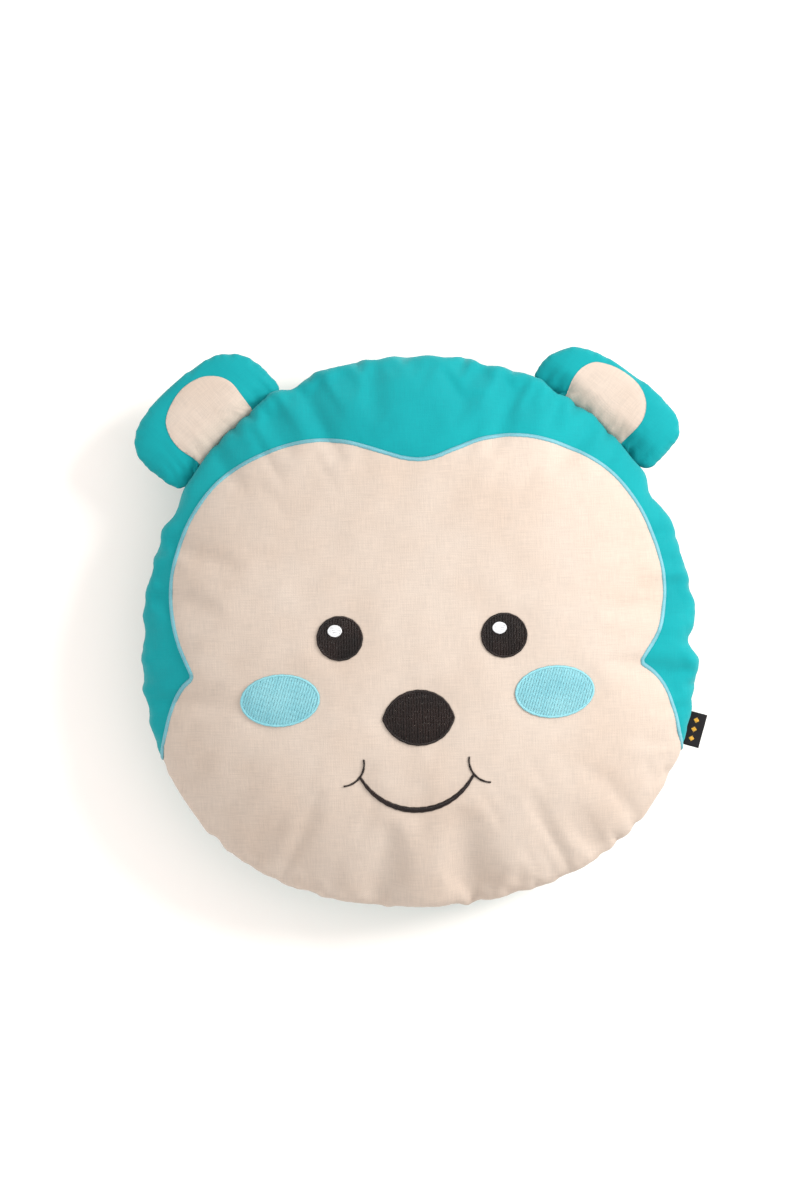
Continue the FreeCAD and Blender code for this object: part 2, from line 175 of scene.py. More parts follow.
def inflate(name, rim, spacing, pressure, stiffness, frames, bulge):
    """Two equal panels sewn at their rims and blown up by a cloth simulation. Sizes in metres.
    Returns the flat points, the triangles, each point's copy on the back, and the simulated places."""
    flat, tris = panel(rim, spacing)
    n = len(rim)
    inner = -signed(flat, rim)
    lift = bulge * np.sqrt(np.clip(inner / inner.max(), 0, 1))
    front = np.column_stack([flat, lift])
    back_index = np.arange(len(flat))
    back_index[n:] = len(flat) + np.arange(len(flat) - n)
    back = np.column_stack([flat[n:], -lift[n:]])
    faces = tris + [(back_index[c], back_index[b], back_index[a]) for a, b, c in tris]
    mesh = bpy.data.meshes.new(name)
    mesh.from_pydata(np.vstack([front, back]).tolist(), [], [tuple(int(i) for i in f) for f in faces])
    obj = bpy.data.objects.new(name, mesh)
    scene = bpy.context.scene
    scene.collection.objects.link(obj)
    cloth = obj.modifiers.new("cloth", "CLOTH")
    s = cloth.settings
    s.quality = 6
    s.mass = 0.15
    s.tension_stiffness = s.compression_stiffness = stiffness
    s.shear_stiffness = stiffness / 2
    s.bending_stiffness = 1.2
    s.tension_damping = s.compression_damping = s.shear_damping = 10
    s.bending_damping = 1
    s.air_damping = 3
    s.use_pressure = True
    s.uniform_pressure_force = pressure
    s.effector_weights.gravity = 0
    cloth.collision_settings.use_collision = False
    cloth.point_cache.frame_start, cloth.point_cache.frame_end = 1, frames + 1
    for step in range(1, frames + 1):
        scene.frame_set(step)
    shaped = obj.evaluated_get(bpy.context.evaluated_depsgraph_get())
    places = np.array([v.co for v in shaped.data.vertices])
    bpy.data.objects.remove(obj)
    bpy.data.meshes.remove(mesh)
    scene.frame_set(1)
    return flat, tris, back_index, places


def make_object(name, verts, faces, uv=None, smooth=True):
    """A mesh object from places in mm."""
    mesh = bpy.data.meshes.new(name)
    mesh.from_pydata((np.asarray(verts) * MM).tolist(), [], [tuple(int(i) for i in f) for f in faces])
    mesh.update()
    if uv is not None:
        layer = mesh.uv_layers.new(name="cloth")
        corners = np.zeros(len(mesh.loops), np.int32)
        mesh.loops.foreach_get("vertex_index", corners)
        layer.data.foreach_set("uv", np.asarray(uv, np.float32)[corners].ravel())
    mesh.polygons.foreach_set("use_smooth", np.full(len(mesh.polygons), smooth))
    obj = bpy.data.objects.new(name, mesh)
    bpy.context.scene.collection.objects.link(obj)
    return obj


def flat_lengths(mesh):
    """Each corner's place on the flat cloth, in metres."""
    values = np.zeros(len(mesh.loops) * 2, np.float32)
    mesh.uv_layers[0].data.foreach_get("uv", values)
    return values.reshape(-1, 2)


def subdivided(verts, faces, uv):
    """One smooth subdivision of a mesh, as plain lists."""
    obj = make_object("subdivide_me", verts, faces, uv)
    smooth = obj.modifiers.new("smooth", "SUBSURF")
    smooth.levels = 1
    smooth.uv_smooth = "NONE"
    shaped = obj.evaluated_get(bpy.context.evaluated_depsgraph_get())
    done = shaped.to_mesh()
    places = np.array([v.co for v in done.vertices]) / MM
    polygons = [tuple(p.vertices) for p in done.polygons]
    found = np.zeros((len(places), 2))
    corners = np.zeros(len(done.loops), np.int32)
    done.loops.foreach_get("vertex_index", corners)
    found[corners] = flat_lengths(done)
    shaped.to_mesh_clear()
    mesh = obj.data
    bpy.data.objects.remove(obj)
    bpy.data.meshes.remove(mesh)
    return places, polygons, found


def normals_of(verts, faces):
    v = np.asarray(verts, float)
    total = np.zeros_like(v)
    for size in (3, 4):
        f = np.array([p for p in faces if len(p) == size])
        if len(f):
            n = np.cross(v[f[:, 2]] - v[f[:, 0]], v[f[:, -1]] - v[f[:, 1]]) if size == 4 else \
                np.cross(v[f[:, 1]] - v[f[:, 0]], v[f[:, 2]] - v[f[:, 0]])
            for k in range(size):
                np.add.at(total, f[:, k], n)
    return total / np.maximum(np.linalg.norm(total, axis=1), 1e-9)[:, None]


def clipped(verts, faces, uv, field, normals):
    """The part of a mesh where field is below zero, with its new border as chains of vertices."""
    verts, uv, normals = [list(map(np.array, a)) for a in (verts, uv, normals)]
    cuts, kept, links = {}, [], []

    def cut(i, j):
        key = (min(i, j), max(i, j))
        if key not in cuts:
            a, b = key
            t = field[a] / (field[a] - field[b])
            for values in (verts, uv, normals):
                values.append(values[a] * (1 - t) + values[b] * t)
            cuts[key] = len(verts) - 1
        return cuts[key]

    for face in faces:
        inside = [field[i] < 0 for i in face]
        if all(inside):
            kept.append(face)
            continue
        if not any(inside):
            continue
        ring, border = [], []
        for k, i in enumerate(face):
            j = face[(k + 1) % len(face)]
            if inside[k]:
                ring.append(i)
            if inside[k] != inside[(k + 1) % len(face)]:
                border.append(cut(i, j))
                ring.append(border[-1])
        if len(ring) > 2:
            kept.append(tuple(ring))
        if len(border) == 2:
            links.append(tuple(border))
    used = sorted({i for face in kept for i in face})
    new = {old: k for k, old in enumerate(used)}
    kept = [tuple(new[i] for i in face) for face in kept]
    near = {}
    for a, b in links:
        if a in new and b in new:
            near.setdefault(new[a], []).append(new[b])
            near.setdefault(new[b], []).append(new[a])
    chains, seen = [], set()
    for start in sorted(near, key=lambda i: len(near[i])):
        if start in seen:
            continue
        chain = [start]
        seen.add(start)
        while True:
            ahead = [i for i in near[chain[-1]] if i not in seen]
            if not ahead:
                break
            chain.append(ahead[0])
            seen.add(ahead[0])
        if len(chain) > 2:
            chains.append((chain, chain[0] in near[chain[-1]]))
    pick = lambda values: np.array([values[i] for i in used])
    return pick(verts), kept, pick(uv), pick(normals), chains


def skirted(verts, faces, uv, normals, chains, drop, tuck=0.25):
    """The cut edges turned down onto the cloth below."""
    verts, uv, faces = list(verts), list(uv), list(faces)
    for chain, closed in chains:
        lower = []
        for i in chain:
            lower.append(len(verts))
            verts.append(verts[i] - normals[i] * drop)
            uv.append(uv[i] + tuck * MM)
        pairs = list(zip(range(len(chain)), range(1, len(chain))))
        if closed:
            pairs.append((len(chain) - 1, 0))
        for a, b in pairs:
            faces.append((chain[b], chain[a], lower[a], lower[b]))
    return np.array(verts), faces, np.array(uv)


# ---------------------------------------------------------------- the head's cover

# outer radius of the head in mm, every few degrees, as it lies
OUTLINE = ((-90, 186.5), (-75, 189), (-60, 194.2), (-45, 198.6), (-30, 197.6), (-21, 195.2), (-15, 193.6),
           (-11, 192.4), (-7, 191), (-3, 188.6), (0, 188.9), (8, 189.4), (15, 188.6), (30, 189), (45, 191),
           (60, 192.8), (75, 191.6), (90, 191.4), (105, 191.8), (120, 192.6), (135, 191), (150, 189.4),
           (165, 189), (175, 189.3), (180, 189.3), (184, 191), (188, 193), (193, 193.2), (198, 194.8),
           (204, 196), (212, 197.4), (225, 198.6), (240, 194.6), (255, 189.4))
# gathers in the seam: angle, depth in mm, half width in degrees, how far each runs inwards in mm
PUCKERS = ((115.2, 3.6, 1.5, 26), (111.5, 1.4, 1.2, 18), (74.3, 2.2, 1.2, 20), (70, 1.0, 1.1, 16),
           (58.4, 2.2, 1.6, 24), (53.5, 1.5, 1.2, 30), (29.1, 3.2, 1.7, 24), (25, 1.2, 1.2, 18),
           (-2.9, 4.6, 1.5, 34), (1.4, 1.8, 1.1, 22), (-47.6, 1.5, 1.0, 26), (-51.5, 1.1, 0.9, 30),
           (-43, 0.9, 0.9, 20), (-84, 1.6, 1.0, 34), (-79, 0.9, 0.9, 20), (-96, 1.0, 1.0, 24),
           (-70, 0.9, 0.9, 22), (-115, 1.3, 1.0, 28), (-122, 0.9, 0.9, 22), (-136, 1.2, 1.0, 26),
           (159.5, 1.6, 1.2, 22), (165, 1.5, 1.3, 20), (187, 1.4, 1.1, 30), (193, 1.2, 1.1, 26),
           (178, 1.4, 1.3, 22), (205, 1.0, 1.0, 24), (152, 1.8, 1.6, 22), (90, 0.7, 1.0, 16),
           (97, 0.8, 1.0, 16), (83, 0.6, 1.0, 16), (15, 0.9, 1.0, 18), (-15, 0.8, 1.0, 20),
           (-30, 0.9, 1.0, 22), (-60, 1.0, 1.0, 22))


def head_radius(angle):
    degrees = (np.degrees(angle) + 90) % 360 - 90
    table = np.array(OUTLINE)
    around = np.concatenate([table[-3:, 0] - 360, table[:, 0], table[:3, 0] + 360])
    reach = np.concatenate([table[-3:, 1], table[:, 1], table[:3, 1]])
    shifts = np.linspace(-2, 2, 5)
    return np.mean([np.interp(degrees + s, around, reach) for s in shifts], axis=0)


def puckered(x, y, front):
    """How far the seam pulls the cloth inwards, and down, at a place near it."""
    angle, r = np.degrees(np.arctan2(y, x)), np.hypot(x, y)
    from_rim = head_radius(np.radians(angle)) - r
    pull = np.zeros_like(r)
    fold = np.zeros_like(r)
    for at, depth, width, run in PUCKERS:
        depth, width = depth * 1.6, width * 1.35
        off = (angle - at + 180) % 360 - 180
        lean = off + 0.02 * from_rim * math.sin(at)
        shape = np.exp(-(lean / width) ** 2) - 0.45 * np.exp(-((np.abs(lean) - 2.1 * width) / width) ** 2)
        fade = np.exp(-np.clip(from_rim, 0, None) / (0.45 * run))
        pull += depth * shape * np.exp(-np.clip(from_rim, 0, None) / 5)
        fold += 0.75 * depth * shape * fade * smoothstep(from_rim / 3)
    return pull, fold


def make_head_shape():
    """The cushion's cover: simulated cloth, brought to the measured outline and onto the floor."""
    count = 210
    turn = np.linspace(0, 2 * math.pi, count, endpoint=False)
    rim = np.column_stack([np.cos(turn), np.sin(turn)]) * (head_radius(turn) * SWELL * MM)[:, None]
    flat, tris, back, places = inflate("head_cloth", rim, 0.006, 8, 20, 30, 0.03)
    places = places / MM
    places -= [places[:, 0].mean(), places[:, 1].mean(), 0]
    angle, r = np.arctan2(places[:, 1], places[:, 0]), np.hypot(places[:, 0], places[:, 1])
    share = r / reach_around(places[:count, :2], np.zeros(2), 15)(angle)
    target = head_radius(angle)
    # small scallops of the simulated rim stay at a third of their depth
    share = 1 + (share - 1) * np.where(share > 0.97, 0.55, 1)
    x, y = share * target * np.cos(angle), share * target * np.sin(angle)
    z = places[:, 2]
    top = np.percentile(z, 99.9)
    up = z > 0
    # stuffed firmly: the panels rise steeply from the seam and level out towards the middle
    height = (np.abs(z) / top) ** 0.72
    rise = np.where(up, FRONT * height, -(BACK + 9) * height)
    # the floor pushes the lowest part of the back flat
    low = -rise - BACK
    rise = np.where(up, rise, -(BACK - np.log1p(np.exp(-low / 1.6)) * 1.6))
    rise = np.where(up, rise, np.minimum(rise, 0))
    pull, fold = puckered(x, y, up)
    reach = np.maximum(np.hypot(x, y), 1)
    x, y = x - pull * x / reach, y - pull * y / reach
    rise = rise - np.where(up, fold, -0.7 * fold) * (np.abs(rise) > 0.5)
    # broad unevenness of loose filling
    amount = smoothstep((1 - share) / 0.2)
    rise = rise + np.where(up, 1.1, 0.4) * wobble(x, y, 120, 3) * amount * np.where(up, 1, 0)
    rise = rise + np.where(up, 0.35, 0.0) * wobble(x, y, 38, 4) * amount
    verts = np.column_stack([x, y, SEAM + rise])
    # the seam is pulled in between the two panels
    verts[:count, :2] *= (1 - 1.5 / np.hypot(x[:count], y[:count]))[:, None]
    faces = tris + [(back[c], back[b], back[a_]) for a_, b, c in tris]
    uv = np.vstack([flat, flat[count:]])
    return verts, faces, uv


def on_head(x, y, fields):
    """Small relief near the embroidery: the cloth is drawn down by the stitches."""
    sink = np.zeros_like(x)
    for outline, depth, reach in fields:
        d = signed(np.column_stack([x, y]), outline)
        sink += depth * np.exp(-(np.clip(d, 0, None) / reach) ** 2) * smoothstep((d + 5) / 5)
    return sink


# features of the face as they lie, mm
EYES = ((-53.2, -1.0), (56.5, -2.0))
CHEEKS = ((-94.4, -41.4), (89.3, -40.7))
NOSE = (-1.7, -56.0)
MOUTH = (-4.4, -94.5)
EYE_WIDTH, EYE_TALL = 31, 30
CHEEK_WIDTH, CHEEK_TALL, CHEEK_TILT = 53.5, 35, 3
NOSE_HALF, NOSE_RISE, NOSE_DROP = 24.8, 19.4, 18.1
MOUTH_RADIUS = 42.6
MOUTH_CENTRE_UP = 19.8     # from the mouth's place up to the middle of its arc
CREASE_ACROSS, CREASE_UP, CREASE_BEND = 50, 9.5, 15
SHINE_LEFT, SHINE_UP = 3, 5
FACE_MIDDLE = (0, -10, 60.0)
# distance between neighbouring threads
PITCH_FILL, PITCH_EDGE, PITCH_FINE, PITCH_TURN = 0.45, 0.4, 0.38, 0.42
BROW = ((-154, -24.5), (-163.6, 0), (-167.6, 29), (-162.6, 59), (-150, 86.5), (-130.5, 109), (-104, 124),
        (-76, 132), (-48, 131.8), (-20, 123.5), (-8, 119.6), (4, 118), (15, 119.8), (27, 124.4), (50, 131.6),
        (77, 132), (104, 124), (130, 109), (149, 86.5), (161.5, 59), (167.2, 29.5), (163.2, 0),
        (149.4, -22.6))
RIGHT_JOWL = ((149.4, -22.6), (158, -29.5), (165.5, -40), (171.5, -56), (175, -72), (178, -90), (182, -115))
LEFT_JOWL = ((-154, -24.5), (-161, -30.5), (-167, -40), (-172.5, -56), (-176.3, -72), (-179, -90),
             (-183, -115))


def face_outline():
    brow = open_curve(BROW, 1.5)
    right, left = open_curve(RIGHT_JOWL, 1.5), open_curve(LEFT_JOWL, 1.5)
    below = np.array([(230, -240), (-230, -240)])
    return np.vstack([brow, right[1:], below, left[::-1][:-1]])


def nose_outline():
    def bow(height, sign):
        radius = (NOSE_HALF ** 2 + height ** 2) / (2 * height)
        a = math.asin(NOSE_HALF / radius)
        t = np.linspace(-a, a, 40)
        return np.column_stack([radius * np.sin(t), sign * (radius * np.cos(t) - radius + height)])

    upper, lower = bow(NOSE_RISE, 1), bow(NOSE_DROP, -1)
    ring = np.vstack([upper, lower[::-1][1:-1]])
    # the left corner is sharp and the right one rounder
    ring[:, 0] -= 0.9 * smoothstep((ring[:, 0] - 15) / 10)
    return ring + NOSE


# ---------------------------------------------------------------- thread

class Ground:
    """Heights and slopes of the sewn face, from which stitches take their places."""

    def __init__(self, verts, faces, low, high, step=2.0):
        tree = BVHTree.FromPolygons([Vector(v) for v in verts], faces)
        self.low, self.step = np.array(low, float), step
        nx, ny = ((np.array(high) - low) / step).astype(int) + 2
        grid = np.full((nx, ny), np.nan)
        for i in range(nx):
            for j in range(ny):
                hit = tree.ray_cast(Vector((low[0] + i * step, low[1] + j * step, 400)), Vector((0, 0, -1)))
                if hit[0]:
                    grid[i, j] = hit[0].z
        grid[np.isnan(grid)] = SEAM
        self.grid = grid

    def height(self, p):
        q = np.clip((p - self.low) / self.step, 0, np.array(self.grid.shape) - 1.001)
        i = q.astype(int)
        f = q - i
        g = self.grid
        x, y = i[:, 0], i[:, 1]
        return ((g[x, y] * (1 - f[:, 0]) + g[x + 1, y] * f[:, 0]) * (1 - f[:, 1])
                + (g[x, y + 1] * (1 - f[:, 0]) + g[x + 1, y + 1] * f[:, 0]) * f[:, 1])

    def place(self, p, lift):
        """Plan points set onto the face and raised along its normal. Returns places and normals."""
        p = np.asarray(p, float)
        d = 1.5
        sx = (self.height(p + [d, 0]) - self.height(p - [d, 0])) / (2 * d)
        sy = (self.height(p + [0, d]) - self.height(p - [0, d])) / (2 * d)
        n = np.column_stack([-sx, -sy, np.ones(len(p))])
        n /= np.linalg.norm(n, axis=1)[:, None]
        return np.column_stack([p, self.height(p)]) + n * np.asarray(lift)[:, None], n


def threads(name, strands, radius, sides=5, flat=0.8):
    """Tubes along many short strands, each a list of places and normals, as one mesh."""
    verts, faces, uv = [], [], []
    base = 0
    turn = np.linspace(0, 2 * math.pi, sides, endpoint=False)
    for number, (p, n) in enumerate(strands):
        k = len(p)
        if k < 2:
            continue
        t = np.gradient(p, axis=0)
        t /= np.maximum(np.linalg.norm(t, axis=1), 1e-9)[:, None]
        side = np.cross(t, n)
        side /= np.maximum(np.linalg.norm(side, axis=1), 1e-9)[:, None]
        up = np.cross(side, t)
        ends = np.ones(k)
        ends[0] = ends[-1] = 0.45
        wide = (np.cos(turn) * radius)[None, :, None] * ends[:, None, None]
        tall = (np.sin(turn) * radius * flat)[None, :, None] * ends[:, None, None]
        ring = p[:, None, :] + side[:, None, :] * wide + up[:, None, :] * tall
        verts.append(ring.reshape(-1, 3))
        along = np.concatenate([[0], np.cumsum(np.linalg.norm(np.diff(p, axis=0), axis=1))])
        uv.append(np.column_stack([np.repeat(along, sides) * MM,
                                   np.tile(turn * radius, k) * MM + number * 0.0137]))
        for a in range(k - 1):
            for s in range(sides):
                b, c = base + a * sides + s, base + a * sides + (s + 1) % sides
                faces.append((b, c, c + sides, b + sides))
        faces.append(tuple(base + s for s in range(sides))[::-1])
        faces.append(tuple(base + (k - 1) * sides + s for s in range(sides)))
        base += k * sides
    return make_object(name, np.vstack(verts), faces, np.vstack(uv))


def fill_strands(ground, outline, lean, pitch, stitch, step, lift, ribs=0, inset=0.0):
    """Rows of running stitches inside an outline. lean is the rows' direction in degrees."""
    a = math.radians(lean)
    along, across = np.array([math.cos(a), math.sin(a)]), np.array([-math.sin(a), math.cos(a)])
    local = np.column_stack([outline @ along, outline @ across])
    strands = []
    low, high = local[:, 1].min() + pitch / 2, local[:, 1].max()
    for row, level in enumerate(np.arange(low, high, pitch)):
        hits = []
        for p, q in zip(local, np.roll(local, -1, axis=0)):
            if (p[1] > level) != (q[1] > level):
                hits.append(p[0] + (level - p[1]) / (q[1] - p[1]) * (q[0] - p[0]))
        hits.sort()
        for start, stop in zip(hits[::2], hits[1::2]):
            start, stop = start + inset, stop - inset
            if stop - start < 1.2:
                continue
            u = np.linspace(start, stop, max(3, int((stop - start) / step)))
            phase = (row % 4) * 0.27 + 0.13 * math.sin(row * 1.7)
            drop = np.abs(np.sin(math.pi * (u / stitch + phase))) ** 0.35
            wave = 0.06 * np.sin(u * 0.9 + row)
            points = u[:, None] * along + (level + wave)[:, None] * across
            # every fourth row is pulled tighter, which parts the fill into narrow columns
            height = lift * (0.45 + 0.55 * drop) - ribs * (row % 4 == 0)
            height[[0, -1]] -= 0.5
            strands.append(ground.place(points, height))
    return strands


def satin_strands(ground, path, half, pitch, lift, closed=False, slant=0.25):
    """Parallel stitches laid across a path. half gives the half width at each share of its length."""
    path = np.asarray(path, float)
    if closed:
        path = np.vstack([path, path[:1]])
    p = resample(path, pitch)
    t = np.gradient(p, axis=0)
    if closed:
        t[0] = t[-1] = p[1] - p[-2]
    t /= np.linalg.norm(t, axis=1)[:, None]
    side = np.column_stack([-t[:, 1], t[:, 0]])
    strands = []
    for k in range(len(p) - (1 if closed else 0)):
        share = k / max(1, len(p) - 1)
        w = half(share) + 0.1 * math.sin(k * 12.9898)
        lean = slant * pitch * (1 if k % 2 else -1)
        u = np.linspace(-1, 1, 7)
        points = p[k] + u[:, None] * w * side[k] + u[:, None] * lean * t[k]
        height = lift * np.sqrt(np.clip(1 - (0.97 * u) ** 2, 0, 1)) - 0.25 * (np.abs(u) > 0.99)
        strands.append(ground.place(points, height))
    return strands


def rim_path(outline, inset):
    """An outline moved inwards."""
    p = np.asarray(outline, float)
    t = np.roll(p, -1, axis=0) - np.roll(p, 1, axis=0)
    t /= np.maximum(np.linalg.norm(t, axis=1), 1e-9)[:, None]
    area = 0.5 * np.sum(p[:, 0] * np.roll(p[:, 1], -1) - np.roll(p[:, 0], -1) * p[:, 1])
    side = np.column_stack([-t[:, 1], t[:, 0]]) * (1 if area > 0 else -1)
    return p + side * inset


def edge_satin(name, verts, normals, chains, width, pitch, lift, radius, step_smooth=9):
    """Satin stitches over the cut edge of a sewn-on piece, in the edge's own space."""
    strands = []
    for chain, closed in chains:
        p, n = verts[chain], normals[chain]
        if closed:
            p, n = np.vstack([p, p[:1]]), np.vstack([n, n[:1]])
        apart = np.concatenate([[True], np.linalg.norm(np.diff(p, axis=0), axis=1) > 0.02])
        both = resample(np.hstack([p, n * 100])[apart], pitch)
        if len(both) < step_smooth * 2:
            continue
        pad = step_smooth // 2
        ends = np.vstack([np.repeat(both[:1], pad, 0), both, np.repeat(both[-1:], pad, 0)])
        kernel = np.ones(step_smooth) / step_smooth
        both = np.stack([np.convolve(ends[:, k], kernel, "valid") for k in range(6)], 1)
        p, n = both[:, :3], both[:, 3:]
        n /= np.linalg.norm(n, axis=1)[:, None]
        t = np.gradient(p, axis=0)
        t /= np.maximum(np.linalg.norm(t, axis=1), 1e-9)[:, None]
        inward = np.cross(n, t)
        if np.mean(np.einsum("ij,ij->i", inward, np.array(FACE_MIDDLE) - p)) < 0:
            inward = -inward
        for k in range(len(p)):
            u = np.linspace(0, 1, 7)
            w = width + 0.12 * math.sin(k * 12.9898)
            lean = 0.3 * pitch * (1 if k % 2 else -1)
            arch = lift * np.sin(math.pi * np.clip(u, 0.02, 0.98)) ** 0.6 - 0.3 * ((u == 0) | (u == 1))
            points = (p[k] + inward[k] * (u[:, None] * (w + 0.5) - 0.5) + t[k] * (u[:, None] - 0.5) * lean
                      + n[k] * arch[:, None])
            strands.append((points, np.repeat(n[k][None], 7, 0)))
    return threads(name, strands, radius)


# ---------------------------------------------------------------- materials

def linear(r, g, b):
    f = lambda c: c / 12.92 if c <= 0.04045 else ((c + 0.055) / 1.055) ** 2.4
    return (f(r / 255), f(g / 255), f(b / 255), 1)


class Nodes:
    """A material and its nodes, with the cloth's own flat lengths and the place on the object."""

    def __init__(self, name):
        self.material = bpy.data.materials.new(name)
        self.material.use_nodes = True
        self.tree = self.material.node_tree
        self.shader = self.tree.nodes["Principled BSDF"]
        self.flat = self.add("ShaderNodeUVMap", uv_map="cloth").outputs[0]
        self.place = self.add("ShaderNodeTexCoord").outputs["Object"]
        self.parts = self.add("ShaderNodeSeparateXYZ", {0: self.flat})

    def add(self, kind, inputs=(), **settings):
        node = self.tree.nodes.new(kind)
        for key, value in settings.items():
            setattr(node, key, value)
        for key, value in dict(inputs).items():
            self.set(node.inputs[key], value)
        return node

    def set(self, socket, value):
        if isinstance(value, bpy.types.NodeSocket):
            self.tree.links.new(value, socket)
        else:
            socket.default_value = value

    def math(self, operation, a, b=0.0):
        return self.add("ShaderNodeMath", {0: a, 1: b}, operation=operation).outputs[0]

    def plus(self, a, b):
        return self.math("ADD", a, b)

    def times(self, a, b):
        return self.math("MULTIPLY", a, b)

    def mix(self, share, a, b, blend="MIX"):
        node = self.add("ShaderNodeMix", data_type="RGBA", blend_type=blend)
        self.set(node.inputs[0], share)
        self.set(node.inputs[6], a)
        self.set(node.inputs[7], b)
        return node.outputs[2]

    def tinted(self, share, tone, tint):
        """The tone, multiplied by a tint where share is one."""
        return self.mix(share, tone, self.mix(1.0, tone, tint, "MULTIPLY"))

    def scaled(self, vector, scale):
        return self.add("ShaderNodeMapping", {"Vector": vector, "Scale": scale}).outputs[0]

    def noise(self, vector, scale, detail=3, rough=0.55):
        return self.add("ShaderNodeTexNoise", {"Vector": vector, "Scale": scale, "Detail": detail,
                                               "Roughness": rough}).outputs["Fac"]

    def range(self, value, low, high, out_low, out_high):
        return self.add("ShaderNodeMapRange", {"Value": value, "From Min": low, "From Max": high,
                                               "To Min": out_low, "To Max": out_high}).outputs[0]

    def surface(self, tone, roughness, specular, sheen, sheen_roughness):
        self.set(self.shader.inputs["Base Color"], tone)
        self.set(self.shader.inputs["Roughness"], roughness)
        self.shader.inputs["Specular IOR Level"].default_value = specular
        self.shader.inputs["Sheen Weight"].default_value = sheen
        self.shader.inputs["Sheen Roughness"].default_value = sheen_roughness

    def bump(self, height, strength, distance):
        node = self.add("ShaderNodeBump", {"Height": height, "Strength": strength, "Distance": distance})
        self.set(self.shader.inputs["Normal"], node.outputs[0])


def cotton(name, colour, shade, pitch=0.00055, slub=0.5, sheen=0.25):
    """Plain-woven cotton: warp and weft from the cloth's own flat lengths, slubs, painted shade in the
    hollows of the weave and a soft bloom.
    """
    m = Nodes(name)
    bend = m.times(m.math("SUBTRACT", m.noise(m.flat, 160, 2), 0.5), 0.00035)
    u, v = (m.times(m.plus(m.parts.outputs[k], bend), math.pi / pitch) for k in (0, 1))
    weave = m.times(m.math("SINE", u), m.math("SINE", v))
    rounds = m.plus(m.math("ABSOLUTE", m.math("COSINE", u)), m.math("ABSOLUTE", m.math("COSINE", v)))
    yarn = m.plus(m.times(weave, 0.5), m.times(rounds, -0.3))
    slubs = m.plus(m.noise(m.scaled(m.flat, (70, 1500, 1)), 1.0, 2, 0.6),
                   m.noise(m.scaled(m.flat, (1500, 70, 1)), 1.0, 2, 0.6))
    fuzz = m.noise(m.place, 2600, 2, 0.7)
    height = m.plus(m.plus(yarn, m.times(slubs, 1.6)), m.times(fuzz, 0.7))
    tone = m.mix(m.range(m.noise(m.place, 14, 3, 0.6), 0.3, 0.7, 0, 1), colour, shade)
    tone = m.tinted(m.range(slubs, 0.75, 1.25, 0, slub), tone, (1.18, 1.16, 1.14, 1))
    # painted shade: the colour is darkened in the hollows between the yarns of the weave
    tone = m.tinted(m.range(yarn, -0.9, 0.3, 0.28, 0), tone, (0.62, 0.66, 0.68, 1))
    m.surface(tone, m.range(fuzz, 0.3, 0.7, 0.74, 0.92), 0.2, sheen, 0.45)
    m.shader.inputs["Sheen Tint"].default_value = [min(1, c * 0.4 + 0.6) for c in colour[:3]] + [1]
    m.bump(height, 0.42, 0.00016)
    return m.material


def thread(name, colour, shade, rough=0.38, sheen=0.3, specular=0.5, twist=0.0004):
    """Rayon embroidery thread: fine plies along each stitch with painted shade between them, a silky gloss
    and stitch-to-stitch tone.
    """
    m = Nodes(name)
    each = m.noise(m.scaled(m.flat, (0.0, 61, 1)), 1.0, 1)
    lean = m.plus(m.times(m.parts.outputs[0], 0.35), m.parts.outputs[1])
    ply = m.math("SINE", m.times(lean, 2 * math.pi / twist))
    cloudy = m.noise(m.place, 45, 2)
    tone = m.mix(m.range(m.plus(each, m.times(cloudy, 0.8)), 0.65, 1.1, 0, 1), colour, shade)
    # painted shade: the colour is darkened in the grooves between the plies
    tone = m.tinted(m.range(ply, -1, 1, 0.16, 0), tone, (0.6, 0.6, 0.6, 1))
    m.surface(tone, m.range(cloudy, 0.3, 0.7, rough - 0.06, rough + 0.1), specular, sheen, 0.35)
    m.bump(ply, 0.35, 0.00008)
    return m.material


TEAL = cotton("teal_cotton", linear(0, 143, 148), linear(0, 134, 140), sheen=0.12)
CREAM = cotton("cream_cotton", linear(184, 171, 160), linear(179, 163, 150), slub=0.9, sheen=0.08)
BLUE = thread("pale_blue_thread", linear(142, 200, 208), linear(118, 184, 195))
DARK = thread("dark_thread", linear(40, 27, 24), linear(12, 7, 6), rough=0.3, sheen=0.0, specular=0.28)
BORDER = thread("border_thread", linear(112, 172, 182), linear(98, 158, 170), sheen=0.1, specular=0.35)
WHITE = thread("white_thread", linear(225, 225, 226), linear(212, 214, 217))
TAPE = cotton("label_tape", linear(30, 27, 29), linear(22, 20, 22), pitch=0.0003, sheen=0.1)
GOLD = thread("gold_thread", linear(226, 172, 52), linear(205, 148, 36))
SEWING = thread("teal_thread", linear(0, 150, 160), linear(0, 138, 148))


def finished(obj, material, slot, body, *nodes):
    """Gives a piece its material, ties it to a body and hides the CAD nodes it stands for."""
    obj.data.materials.append(material)
    if nodes:
        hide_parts(*nodes)
    if body:
        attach(obj, body)
    return obj


def sewn_sheet(obj):
    """Reads the flat lengths of a piece of cloth sewn down on a cover, the size it was cut to, and does
    nothing more with them.
    """
    flat = flat_lengths(obj.data)


# ---------------------------------------------------------------- the head

def mouth_line():
    turn = np.radians(np.linspace(-152, -28, 60))
    return np.column_stack([MOUTH[0] + MOUTH_RADIUS * np.cos(turn),
                            MOUTH[1] + MOUTH_CENTRE_UP + MOUTH_RADIUS * np.sin(turn)])


def crease_line(sign):
    """The short fold of the cheek at one end of the mouth."""
    turn = np.radians(np.linspace(10, -86, 30))
    return np.column_stack([MOUTH[0] + sign * (CREASE_ACROSS - CREASE_BEND * np.cos(turn)),
                            MOUTH[1] + CREASE_UP + CREASE_BEND * np.sin(turn)])


